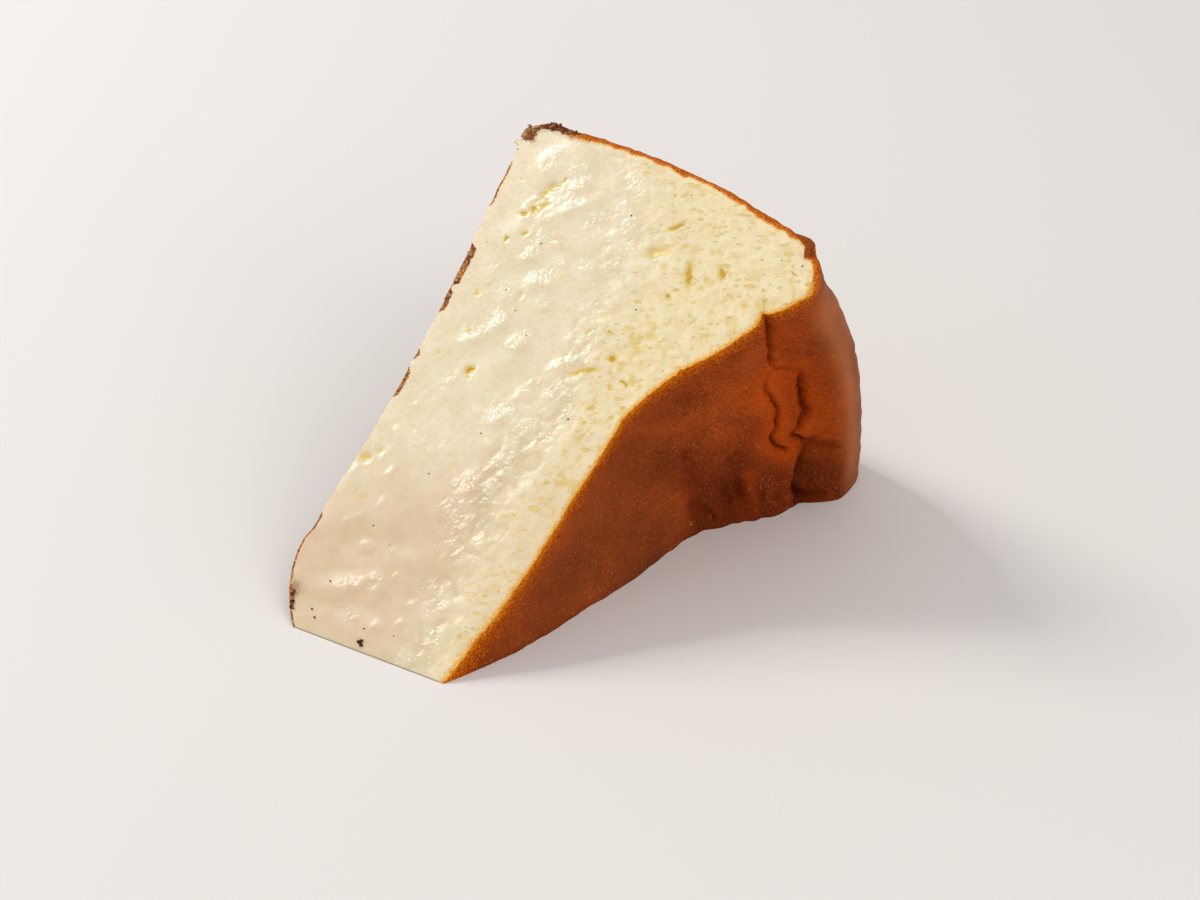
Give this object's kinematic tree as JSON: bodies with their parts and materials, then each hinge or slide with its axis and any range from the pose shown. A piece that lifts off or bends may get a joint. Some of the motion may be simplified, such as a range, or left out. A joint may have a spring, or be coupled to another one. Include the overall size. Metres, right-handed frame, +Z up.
{
  "type": "basque cheesecake slice",
  "caption": "Wedge slice of Basque cheesecake lying on a cut face, with a sunken browned top, a cracked rounded rim, a dark base and a pale creamy cut face.",
  "frame": {"origin": "under the middle of the slice, on the surface that it lies on", "axes": "+X from the tip of the slice to the outer side of the cake, -Y towards the browned top, +Z up"},
  "size_m": [0.102, 0.0666, 0.0585],
  "materials": {
    "cheesecake": "satin"
  },
  "bodies": {
    "root": {"cheesecake_slice": "cheesecake"}
  },
  "joints": []
}
